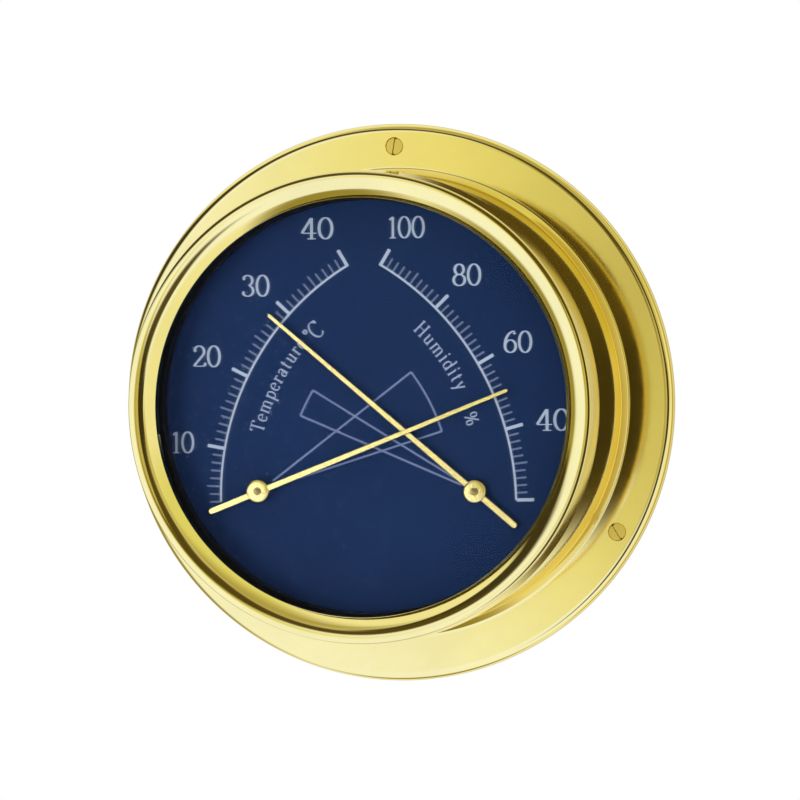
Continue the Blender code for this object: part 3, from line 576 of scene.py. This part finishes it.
def pointer(name, node, body, hub, degrees, aside=0.0):
    """Flat pointer with chamfered edges, a thicker hub and a short tail; aside shifts blade and tail."""
    low = -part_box(node)[1][1] / MM
    high = -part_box(node)[0][1] / MM
    blade_low = low + BLADE_STEP
    blade_high = high - BLADE_STEP
    bm = bmesh.new()
    hub_profile = [(HUB_BORE, high - HUB_CHAMFER), (HUB_BORE + HUB_CHAMFER, high), (HUB_FLAT, high)]
    hub_profile += arc((HUB_FLAT, high - HUB_ROUND), (HUB_R - HUB_FLAT, HUB_ROUND), 90, 0, 8)[1:]
    hub_profile += [(HUB_R, low + HUB_CHAMFER), (HUB_R - HUB_CHAMFER, low), (HUB_BORE, low)]
    add_lathe(bm, hub_profile, segments=HUB_FACETS)
    obj = make_object(name, bm, MATERIALS["pointer_brass"])
    bm = bmesh.new()
    half = BLADE_ROOT_HALF
    tip = arc((BLADE_END, 0.0), BLADE_END_HALF, -90, 90, 10)
    blade = [(BLADE_ROOT, -half)] + tip + [(BLADE_ROOT, half)]
    end = arc((-TAIL_END, 0.0), half, 90, 270, 10)
    tail = [(-BLADE_ROOT, half)] + end + [(-BLADE_ROOT, -half)]
    section = ((BACK_CHAMFER, blade_low), (0.0, blade_low + BACK_CHAMFER),
               (0.0, blade_high - FRONT_CHAMFER), (FRONT_CHAMFER, blade_high))
    for outline in (blade, tail):
        center_x = sum(x for x, _ in outline) / len(outline)
        rings = []
        for inset, height in section:
            ring = []
            for x, y in outline:
                shrink = 1.0 - inset / half
                dx = -inset if x > center_x else inset
                ring.append(bm.verts.new(world(x + dx, y * shrink + aside, height)))
            rings.append(ring)
        bm.faces.new(rings[0])
        bm.faces.new(rings[-1])
        for lower, upper in zip(rings, rings[1:]):
            for i in range(len(lower)):
                j = (i + 1) % len(lower)
                bm.faces.new((lower[i], lower[j], upper[j], upper[i]))
    cut(obj, bm, "UNION")
    place = Matrix.Translation(world(hub[0], hub[1], 0.0)) @ Matrix.Rotation(-math.radians(degrees), 4, "Y")
    obj.data.transform(place)
    stand_in(obj, body, "pointer_brass", node)


# Turned end over an arbor's own: radius, and height from the arbor's front
ARBOR_END = ((0.0, 0.03), (0.44, 0.03), (0.56, -0.02), (0.56, -0.3), (0.0, -0.3))


def arbor_end(name, node, body, hub):
    """Turned end of an arbor, in the hub it carries, in brass darkened as painted shade for the hub's dark
    centre.
    """
    high = -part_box(node)[0][1] / MM
    bm = bmesh.new()
    add_lathe(bm, [(radius, high + rise) for radius, rise in ARBOR_END], hub, SMALL_ROUND, False)
    stand_in(make_object(name, bm, MATERIALS["arbor_brass_painted_shade"]), body, "movement_brass")


# Print on the dial

# Each sign's width and strokes, in parts of its height: lines, ovals, bows of an oval and round dots
GLYPHS = {
    "0": (0.60, [["oval", 0.30, 0.50, 0.235, 0.485]]),
    "1": (0.42, [[(0.22, 0.98), (0.22, 0.02)], [(0.08, 0.84), (0.22, 0.97)], [(0.08, 0.015), (0.36, 0.015)]]),
    "2": (0.58, [["bow", 0.28, 0.72, 0.20, 0.265, 168, -30, (0.06, 0.05)], ["dot", 0.115, 0.76, 0.06],
                 [(0.06, 0.045), (0.50, 0.045)], [(0.50, 0.05), (0.53, 0.20)]]),
    "3": (0.56, [["bow", 0.25, 0.75, 0.19, 0.235, 160, -80], ["bow", 0.25, 0.265, 0.22, 0.25, 80, -160],
                 ["dot", 0.10, 0.81, 0.055], ["dot", 0.075, 0.20, 0.055]]),
    "4": (0.60, [[(0.38, 0.97), (0.04, 0.29)], [(0.03, 0.28), (0.57, 0.28)], [(0.39, 0.98), (0.39, 0.02)],
                 [(0.24, 0.015), (0.54, 0.015)]]),
    "6": (0.58, [["oval", 0.29, 0.30, 0.215, 0.285], ["bow", 0.46, 0.34, 0.385, 0.645, 178, 88],
                 ["dot", 0.455, 0.89, 0.055]]),
    "8": (0.58, [["oval", 0.29, 0.745, 0.175, 0.238], ["oval", 0.29, 0.26, 0.222, 0.257]]),
    "T": (0.68, [[(0.03, 0.97), (0.65, 0.97)], [(0.03, 0.97), (0.03, 0.78)], [(0.65, 0.97), (0.65, 0.78)],
                 [(0.34, 0.97), (0.34, 0.02)], [(0.22, 0.015), (0.46, 0.015)]]),
    "e": (0.50, [[(0.06, 0.35), (0.44, 0.35)], ["bow", 0.25, 0.32, 0.20, 0.31, 8, 318]]),
    "m": (0.92, [[(0.12, 0.62), (0.12, 0.02)], [(0.45, 0.46), (0.45, 0.02)], [(0.78, 0.46), (0.78, 0.02)],
                 ["bow", 0.285, 0.44, 0.165, 0.18, 165, 0], ["bow", 0.615, 0.44, 0.165, 0.18, 165, 0],
                 [(0.03, 0.015), (0.21, 0.015)], [(0.36, 0.015), (0.54, 0.015)],
                 [(0.69, 0.015), (0.87, 0.015)], [(0.03, 0.60), (0.12, 0.62)]]),
    "p": (0.56, [[(0.13, 0.62), (0.13, -0.28)], ["oval", 0.31, 0.315, 0.185, 0.30],
                 [(0.03, -0.285), (0.23, -0.285)], [(0.03, 0.60), (0.13, 0.62)]]),
    "r": (0.42, [[(0.13, 0.62), (0.13, 0.02)], ["bow", 0.28, 0.42, 0.15, 0.19, 175, 60],
                 ["dot", 0.355, 0.55, 0.05], [(0.03, 0.015), (0.24, 0.015)], [(0.03, 0.60), (0.13, 0.62)]]),
    "a": (0.50, [["oval", 0.20, 0.19, 0.145, 0.18], ["bow", 0.22, 0.43, 0.155, 0.19, 155, 0],
                 [(0.375, 0.44), (0.375, 0.06)], [(0.375, 0.03), (0.47, 0.02)]]),
    "t": (0.38, [[(0.16, 0.82), (0.16, 0.14)], ["bow", 0.26, 0.14, 0.10, 0.125, 180, 300],
                 [(0.03, 0.60), (0.32, 0.60)]]),
    "u": (0.60, [[(0.13, 0.62), (0.13, 0.20)], ["bow", 0.28, 0.20, 0.15, 0.185, 180, 340],
                 [(0.45, 0.62), (0.45, 0.02)], [(0.03, 0.61), (0.13, 0.61)], [(0.35, 0.61), (0.45, 0.61)],
                 [(0.45, 0.015), (0.56, 0.015)]]),
    "H": (0.80, [[(0.15, 0.98), (0.15, 0.02)], [(0.63, 0.98), (0.63, 0.02)], [(0.15, 0.51), (0.63, 0.51)],
                 [(0.03, 0.985), (0.27, 0.985)], [(0.51, 0.985), (0.75, 0.985)],
                 [(0.03, 0.015), (0.27, 0.015)], [(0.51, 0.015), (0.75, 0.015)]]),
    "i": (0.28, [[(0.14, 0.62), (0.14, 0.02)], ["dot", 0.14, 0.86, 0.065], [(0.04, 0.015), (0.24, 0.015)],
                 [(0.04, 0.60), (0.14, 0.62)]]),
    "d": (0.58, [["oval", 0.25, 0.315, 0.19, 0.30], [(0.44, 0.98), (0.44, 0.02)],
                 [(0.34, 0.98), (0.44, 0.98)], [(0.44, 0.015), (0.55, 0.015)]]),
    "y": (0.54, [[(0.08, 0.61), (0.27, 0.04)], [(0.46, 0.61), (0.17, -0.22)], ["dot", 0.13, -0.24, 0.055],
                 [(0.01, 0.615), (0.19, 0.615)], [(0.37, 0.615), (0.53, 0.615)]]),
    "C": (0.72, [["bow", 0.37, 0.50, 0.31, 0.485, 42, 318], [(0.61, 0.97), (0.61, 0.74)]]),
    "o": (0.26, [["oval", 0.13, 0.84, 0.085, 0.115]]),
    "%": (0.86, [["oval", 0.20, 0.73, 0.15, 0.235], ["oval", 0.66, 0.26, 0.15, 0.235],
                 [(0.68, 0.98), (0.18, 0.02)]]),
}
# Widths of upright and level strokes, in parts of the height
THICK = 0.105
THIN = 0.045


def glyph_paths(strokes):
    """Centre lines of one sign, and its round dots."""
    paths = []
    dots = []
    for stroke in strokes:
        if stroke[0] == "oval":
            _, x, y, rx, ry = stroke
            paths.append((arc((x, y), (rx, ry), 0, 360, 40)[:-1], True))
        elif stroke[0] == "bow":
            _, x, y, rx, ry, start, end = stroke[:7]
            points = arc((x, y), (rx, ry), start, end, 24)
            paths.append((points + list(stroke[7:]), False))
        elif stroke[0] == "dot":
            dots.append(stroke[1:])
        else:
            paths.append((list(stroke), False))
    return paths, dots


def add_ribbon(bm, points, loop, place, low, high, weight):
    """Flat stroke that is thick where it runs upright and thin where it runs level."""
    count = len(points)
    sides = []
    for i in range(count):
        before = points[i - 1] if i or loop else points[i]
        after = points[(i + 1) % count] if i < count - 1 or loop else points[i]
        dx, dy = after[0] - before[0], after[1] - before[1]
        length = math.hypot(dx, dy) or 1.0
        half = weight * (THIN + (THICK - THIN) * abs(dy / length)) / 2
        nx, ny = -dy / length * half, dx / length * half
        x, y = points[i]
        sides.append(((x + nx, y + ny), (x - nx, y - ny)))
    corners = []
    for left, right in sides:
        ring = []
        for point, height in ((left, low), (left, high), (right, high), (right, low)):
            u, v = place(point)
            ring.append(bm.verts.new(world(u, v, height)))
        corners.append(ring)
    spans = list(zip(corners, corners[1:]))
    if loop:
        spans.append((corners[-1], corners[0]))
    for a, b in spans:
        for k in range(4):
            j = (k + 1) % 4
            bm.faces.new((a[k], a[j], b[j], b[k]))
    if not loop:
        bm.faces.new(corners[0])
        bm.faces.new(corners[-1])


STROKE_RISE = 0.0008
DOT_RISE = 0.004
WORD_WEIGHT = 1.05


def add_sign(bm, sign, place, low, high, weight=1.0):
    """One sign; each stroke lies a little above the one before, so that no two faces share a plane."""
    paths, dots = glyph_paths(GLYPHS[sign][1])
    for i, (points, loop) in enumerate(paths):
        add_ribbon(bm, points, loop, place, low, high + STROKE_RISE * i, weight)
    for x, y, radius in dots:
        outline = [place(point) for point in arc((x, y), radius, 0, 360, 16)[:-1]]
        add_prism(bm, outline, low, high + DOT_RISE)


def add_number(bm, text, center, size, wide, low, high):
    """Upright number about a centre."""
    width = sum(GLYPHS[sign][0] for sign in text)
    x = -width / 2
    for sign in text:
        def place(point, x=x):
            return (center[0] + (x + point[0]) * size * wide, center[1] + (point[1] - 0.5) * size)
        add_sign(bm, sign, place, low, high)
        x += GLYPHS[sign][0]


def add_word(bm, text, hub, radius, start, size, low, high, tracking):
    """Word that runs clockwise round a hub, its baseline towards the hub."""
    advance = 0.0
    for sign in text:
        half = GLYPHS[sign][0] * size / 2
        angle = start - math.degrees((advance + half) / radius)

        def place(point, angle=angle, half=half):
            u = point[0] * size - half
            r = radius + point[1] * size
            x, y = polar(r, angle, hub)
            side = math.radians(angle - 90)
            return (x + u * math.cos(side), y + u * math.sin(side))
        add_sign(bm, sign, place, low, high, WORD_WEIGHT)
        advance += GLYPHS[sign][0] * size + tracking


def add_band(bm, hub, inner, outer, start, end, low, high, steps=90):
    """Part of a flat ring about a hub."""
    rings = []
    for i in range(steps + 1):
        degrees = start + (end - start) * i / steps
        ring = []
        for radius, height in ((inner, low), (inner, high), (outer, high), (outer, low)):
            x, y = polar(radius, degrees, hub)
            ring.append(bm.verts.new(world(x, y, height)))
        rings.append(ring)
    for a, b in zip(rings, rings[1:]):
        for k in range(4):
            j = (k + 1) % 4
            bm.faces.new((a[k], a[j], b[j], b[k]))
    bm.faces.new(rings[0])
    bm.faces.new(rings[-1])


def add_line(bm, start, end, width, low, high):
    dx, dy = end[0] - start[0], end[1] - start[1]
    length = math.hypot(dx, dy)
    nx, ny = -dy / length * width / 2, dx / length * width / 2
    outline = [(start[0] + nx, start[1] + ny), (start[0] - nx, start[1] - ny)]
    outline += [(end[0] - nx, end[1] - ny), (end[0] + nx, end[1] + ny)]
    add_prism(bm, outline, low, high)


def add_tick(bm, hub, degrees, inner, outer, width, low, high):
    add_line(bm, polar(inner, degrees, hub), polar(outer, degrees, hub), width, low, high)


# Each scale's circle, and the pointer's angle at its last value and per unit
TEMPERATURE_ARC = ((22.38, -17.15), 51.07)
HUMIDITY_ARC = ((-24.15, -18.40), 52.67)
TEMPERATURE_AT_40 = 119.87
TEMPERATURE_STEP = 1.693
HUMIDITY_AT_100 = 61.04
HUMIDITY_STEP = 0.7868
PRINT_SINK = 0.005
PRINT_RISE = 0.035
ARC_HALF = 0.20
ARC_OVERLAP = math.degrees(0.31 / 51.0)
LONG_TICK, MIDDLE_TICK, SHORT_TICK = 3.4, 2.75, 2.2
BOLD_TICK_WIDTH, FINE_TICK_WIDTH = 0.62, 0.36
BOLD_TICK_START, FINE_TICK_START = 0.1, 0.15
BOLD_TICK_RISE, FINE_TICK_DROP = 0.002, 0.004
NUMBER_SIZE = 4.10
# Text, place and width
NUMBERS = (
    ("10", -36.1, -6.75, 1.09),
    ("20", -31.25, 9.7, 1.17),
    ("30", -21.5, 23.1, 1.16),
    ("40", -9.4, 33.88, 1.30),
    ("100", 7.85, 33.9, 1.08),
    ("80", 19.37, 24.83, 1.17),
    ("60", 29.03, 12.15, 1.16),
    ("40", 35.6, -2.5, 1.30),
)
# Text, hub, radius of the baseline, angle of the first sign, size and tracking
WORDS = (
    ("Temperature", RIGHT_HUB, 42.6, 165.2, 2.75, 0.28),
    ("oC", RIGHT_HUB, 41.7, 138.0, 3.4, 0.0),
    ("Humidity", LEFT_HUB, 42.6, 45.6, 2.75, 0.35),
    ("%", LEFT_HUB, 41.9, 20.0, 2.6, 0.0),
)
FAN_START = 3.0
FAN_LINE = 0.36
FAN_DROP = 0.010
FAN_STEP = 0.004


def temperature_angle(value):
    return TEMPERATURE_AT_40 + (40 - value) * TEMPERATURE_STEP


def humidity_angle(value):
    return HUMIDITY_AT_100 - (100 - value) * HUMIDITY_STEP


def on_arc(arc_circle, hub, degrees):
    """Angle about a scale's own centre of the place on its circle that a pointer at this angle shows."""
    (cx, cy), radius = arc_circle
    turn = math.radians(degrees)
    dx, dy = math.cos(turn), math.sin(turn)
    ox, oy = hub[0] - cx, hub[1] - cy
    along = ox * dx + oy * dy
    reach = -along + math.sqrt(along * along - ox * ox - oy * oy + radius * radius)
    found = math.degrees(math.atan2(oy + reach * dy, ox + reach * dx))
    # The left scale runs past 180 degrees and the right one below 0
    return found % 360.0 if cx > 0 else found


def dial_print():
    """Scales, numbers, words and the two fans of the comfort zone, each a thin raised layer on the dial."""
    low = DIAL_HIGH - PRINT_SINK
    high = DIAL_HIGH + PRINT_RISE
    bm = bmesh.new()
    fine = bmesh.new()
    for circle, hub, angle_of, values, coarse, middle, turn in (
        (TEMPERATURE_ARC, RIGHT_HUB, temperature_angle, range(3, 41), 10, 5, -ARC_OVERLAP),
        (HUMIDITY_ARC, LEFT_HUB, humidity_angle, range(20, 101, 2), 20, 10, ARC_OVERLAP),
    ):
        center, radius = circle
        ends = [on_arc(circle, hub, angle_of(values[0])), on_arc(circle, hub, angle_of(values[-1])) + turn]
        add_band(bm, center, radius - ARC_HALF, radius + ARC_HALF, min(ends), max(ends), low, high)
        for value in values:
            angle = on_arc(circle, hub, angle_of(value))
            if value % coarse == 0:
                start, end = radius + BOLD_TICK_START, radius + LONG_TICK
                add_tick(bm, center, angle, start, end, BOLD_TICK_WIDTH, low, high + BOLD_TICK_RISE)
            else:
                start = radius + FINE_TICK_START
                end = radius + (MIDDLE_TICK if value % middle == 0 else SHORT_TICK)
                add_tick(fine, center, angle, start, end, FINE_TICK_WIDTH, low, high - FINE_TICK_DROP)
    for text, x, y, wide in NUMBERS:
        add_number(bm, text, (x, y), NUMBER_SIZE, wide, low, high)
    stand_in(make_object("dial_scale_print", bm, MATERIALS["dial_print"]), "case", "dial_paint")
    stand_in(make_object("dial_tick_print", fine, MATERIALS["dial_tick_print"]), "case", "dial_paint")
    bm = bmesh.new()
    for text, hub, radius, start, size, tracking in WORDS:
        add_word(bm, text, hub, radius, start, size, low, high, tracking)
    stand_in(make_object("dial_word_print", bm, MATERIALS["dial_word_print"]), "case", "dial_paint")
    bm = bmesh.new()
    # Hub, radius and both angles of each fan, whose lines lie a little below each other where they cross
    fans = ((LEFT_HUB, 37.0, humidity_angle(70), humidity_angle(45)),
            (RIGHT_HUB, 36.7, temperature_angle(23), temperature_angle(18)))
    for i, (hub, radius, start, end) in enumerate(fans):
        top = high - FAN_DROP - FAN_STEP * i
        add_tick(bm, hub, start, FAN_START, radius, FAN_LINE, low, top)
        add_tick(bm, hub, end, FAN_START, radius, FAN_LINE, low, top - 0.001)
        add_band(bm, hub, radius - FAN_LINE / 2, radius + FAN_LINE / 2, start, end, low, top - 0.002, 24)
    stand_in(make_object("dial_comfort_print", bm, MATERIALS["dial_fine_print"]), "case", "dial_paint")


case_shell()
bezel()
window()
spacer()
dial()
back_lid()
for screw_side in SCREWS:
    wall_screw(screw_side)
pointer("temperature_hand", "thermometer_pointer", "thermometer_hand", RIGHT_HUB, degrees=139.8)
pointer("humidity_hand", "hygrometer_pointer", "hygrometer_hand", LEFT_HUB, degrees=21.80, aside=-0.2)
arbor_end("temperature_arbor_end", "thermometer_arbor", "thermometer_hand", RIGHT_HUB)
arbor_end("humidity_arbor_end", "hygrometer_arbor", "hygrometer_hand", LEFT_HUB)
dial_print()


# Stage

WHITE = (1.0, 1.0, 1.0)
EVEN_LIGHT = (1.0, 1.0, 1.0)
STUDIO_TONE = (1.01, 1.07, 1.35)
# What the brass reflects, each panel over those before it, with its tone last. In degrees, a lobe has its
# azimuth, elevation and the angles where it is full and gone, and a card has its azimuth, elevation, half
# width, half height and softness.
PANELS = (
    ("lobe", -11, -30, 30, 60, (1.07, 1.22, 2.40)),
    ("lobe", 70, 48, 20, 42, (0.84, 0.88, 0.60)),
    ("lobe", 12, 45, 12, 40, (0.50, 0.47, 0.30)),
    ("lobe", -30, -84, 8, 28, (0.36, 0.33, 0.14)),
    ("lobe", -95, -12, 22, 58, (0.36, 0.34, 0.17)),
    ("card", 108, 0, 21, 60, 8, (0.60, 0.48, 0.19)),
    ("lobe", 180, 0, 20, 50, (0.68, 0.66, 0.48)),
    ("card", 30, 15, 18, 16, 6, (0.66, 0.64, 0.50)),
    ("lobe", -6.3, 1.2, 4.9, 7.4, (1.00, 1.02, 0.76)),
    ("lobe", -5.4, 0.4, 2.7, 6.2, (0.52, 0.49, 0.31)),
    ("card", -55, 22, 38, 13, 4, (0.055, 0.047, 0.033)),
    ("card", -8, 17, 16, 7, 3, (0.100, 0.076, 0.022)),
    ("card", 0, 7.0, 8, 7, 2, (0.095, 0.072, 0.028)),
    ("card", 9, -2, 9, 20, 4, (0.100, 0.080, 0.030)),
    ("card", 14, -1.5, 14, 6, 3, (0.050, 0.042, 0.020)),
    ("lobe", 0, 0, 4.0, 5.4, (0.62, 0.58, 0.38)),
)


def direction(azimuth, elevation):
    """Unit vector by the angle from straight in front towards the right, and the angle up."""
    a, e = math.radians(azimuth), math.radians(elevation)
    return (math.sin(a) * math.cos(e), -math.cos(a) * math.cos(e), math.sin(e))


def studio():
    """White surround for the eye; soft studio of pale and dark panels for reflections; even soft light."""
    surround = bpy.data.worlds.new("studio")
    bpy.context.scene.world = surround
    surround.use_nodes = True
    tree = surround.node_tree
    tree.nodes.clear()
    way = tree.nodes.new("ShaderNodeTexCoord").outputs["Generated"]

    def dot(axis):
        node = tree.nodes.new("ShaderNodeVectorMath")
        node.operation = "DOT_PRODUCT"
        tree.links.new(way, node.inputs[0])
        node.inputs[1].default_value = axis
        return node.outputs["Value"]

    def math_node(operation, *values):
        node = tree.nodes.new("ShaderNodeMath")
        node.operation = operation
        for socket, value in zip(node.inputs, values):
            if isinstance(value, float):
                socket.default_value = value
            else:
                tree.links.new(value, socket)
        return node.outputs["Value"]

    def fade(value, none, full):
        node = tree.nodes.new("ShaderNodeMapRange")
        node.interpolation_type = "SMOOTHSTEP"
        tree.links.new(value, node.inputs["Value"])
        node.inputs["From Min"].default_value = none
        node.inputs["From Max"].default_value = full
        return node.outputs["Result"]

    def lobe(azimuth, elevation, inner, outer):
        """Round soft panel: full within one angle of its middle and gone at another."""
        middle = dot(direction(azimuth, elevation))
        return fade(middle, math.cos(math.radians(outer)), math.cos(math.radians(inner)))

    def card(azimuth, elevation, width, height, soft):
        """Flat upright card by the angles of its half sides, with soft edges."""
        a, e = math.radians(azimuth), math.radians(elevation)
        ahead = dot(direction(azimuth, elevation))
        sides = (((math.cos(a), math.sin(a), 0.0), width),
                 ((-math.sin(a) * math.sin(e), math.cos(a) * math.sin(e), math.cos(e)), height))
        edge = math.tan(math.radians(soft))
        cover = math_node("GREATER_THAN", ahead, 0.02)
        for axis, angle in sides:
            half = math.tan(math.radians(angle))
            reach = math_node("ABSOLUTE", math_node("DIVIDE", dot(axis), ahead))
            cover = math_node("MULTIPLY", cover, fade(math_node("SUBTRACT", half, reach), -edge, edge))
        return cover

    def mix(factor, below, above):
        node = tree.nodes.new("ShaderNodeMix")
        node.data_type = "RGBA"
        tree.links.new(factor, node.inputs["Factor"])
        for socket, value in ((node.inputs[6], below), (node.inputs[7], above)):
            if isinstance(value, tuple):
                socket.default_value = (*value, 1.0)
            else:
                tree.links.new(value, socket)
        return node.outputs[2]

    panels = STUDIO_TONE
    for kind, *sizes, color in PANELS:
        panels = mix((lobe if kind == "lobe" else card)(*sizes), panels, color)
    path = tree.nodes.new("ShaderNodeLightPath")
    seen = math_node("MAXIMUM", path.outputs["Is Camera Ray"], path.outputs["Is Transmission Ray"])
    shown = mix(path.outputs["Is Glossy Ray"], EVEN_LIGHT, panels)
    shown = mix(seen, shown, WHITE)
    background = tree.nodes.new("ShaderNodeBackground")
    tree.links.new(shown, background.inputs["Color"])
    out = tree.nodes.new("ShaderNodeOutputWorld")
    tree.links.new(background.outputs["Background"], out.inputs["Surface"])


studio()


def lamp(name, place, aim, size, power):
    """Round soft lamp that reflections don't show."""
    data = bpy.data.lights.new(name, "AREA")
    data.shape = "DISK"
    data.size = size
    data.energy = power
    obj = bpy.data.objects.new(name, data)
    obj.location = place
    obj.rotation_euler = (Vector(aim) - Vector(place)).to_track_quat("-Z", "Y").to_euler()
    obj.visible_glossy = False
    bpy.context.scene.collection.objects.link(obj)


lamp("soft_key", place=(-0.50, -1.00, -0.12), aim=(0.0, -0.03, 0.0), size=0.40, power=6.0)

FLOOR_R = 1.0
FLOOR_Z = -0.45
FLOOR_SIDES = 96


def floor():
    """Pale round floor well below the instrument, which keeps its shadow and fades to white at its rim."""
    bm = bmesh.new()
    for i in range(FLOOR_SIDES):
        x, y = polar(FLOOR_R, 360.0 * i / FLOOR_SIDES)
        bm.verts.new((x, y, FLOOR_Z))
    bm.faces.new(bm.verts[:])
    m = Nodes("floor_pale")
    m.set(Base_Color=m.ramp(m.noise(3.0), (0.3, (0.86, 0.86, 0.86)), (0.7, (0.90, 0.90, 0.90))))
    m.set(Roughness=m.span(m.noise(8.0), 0.7, 0.9))
    reach = m.node("VectorMath", Vector=m.place)
    reach.operation = "LENGTH"
    rim = m.node("MapRange", Value=reach.outputs["Value"], From_Min=0.60, From_Max=1.05)
    rim.interpolation_type = "SMOOTHSTEP"
    path = m.node("LightPath")
    seen = m.combine("MAXIMUM", path.outputs["Is Camera Ray"], path.outputs["Is Transmission Ray"])
    glow = m.node("Emission")
    blend = m.node("MixShader", Fac=m.combine("MULTIPLY", seen, rim.outputs["Result"]))
    m.put(blend.inputs[1], m.shader.outputs["BSDF"])
    m.put(blend.inputs[2], glow.outputs["Emission"])
    m.put(m.tree.nodes["Material Output"].inputs["Surface"], blend.outputs["Shader"])
    obj = make_object("floor", bm, m.material)
    obj.visible_glossy = False


floor()

# Camera at the photograph's viewing angle: radians, metres, and pixels of the photograph
YAW, PITCH, ROLL = 0.2002001, 0.0254549, -0.0074521
DISTANCE = 0.700
PHOTO_SIZE = 800
FOCUS = 3537.95
CENTER = (398.757, 402.525)
SENSOR = 36.0


def camera():
    """Camera that looks at the origin, with its picture shifted to the photograph's centre."""
    c, s = math.cos(YAW), math.sin(YAW)
    cp, sp = math.cos(PITCH), math.sin(PITCH)
    ahead = Vector((-s * cp, c * cp, -sp))
    right = Vector((c, s, 0.0))
    up = Vector((-s * sp, c * sp, cp))
    across = math.cos(ROLL) * right + math.sin(ROLL) * up
    above = -math.sin(ROLL) * right + math.cos(ROLL) * up
    data = bpy.data.cameras.new("camera")
    data.sensor_width = SENSOR
    data.lens = FOCUS / PHOTO_SIZE * SENSOR
    data.shift_x = (PHOTO_SIZE / 2 - CENTER[0]) / PHOTO_SIZE
    data.shift_y = (CENTER[1] - PHOTO_SIZE / 2) / PHOTO_SIZE
    obj = bpy.data.objects.new("camera", data)
    turn = Matrix((across, above, -ahead)).transposed()
    obj.matrix_world = Matrix.Translation(-ahead * DISTANCE) @ turn.to_4x4()
    bpy.context.scene.collection.objects.link(obj)
    bpy.context.scene.camera = obj


camera()
bpy.context.scene.view_settings.view_transform = "Standard"
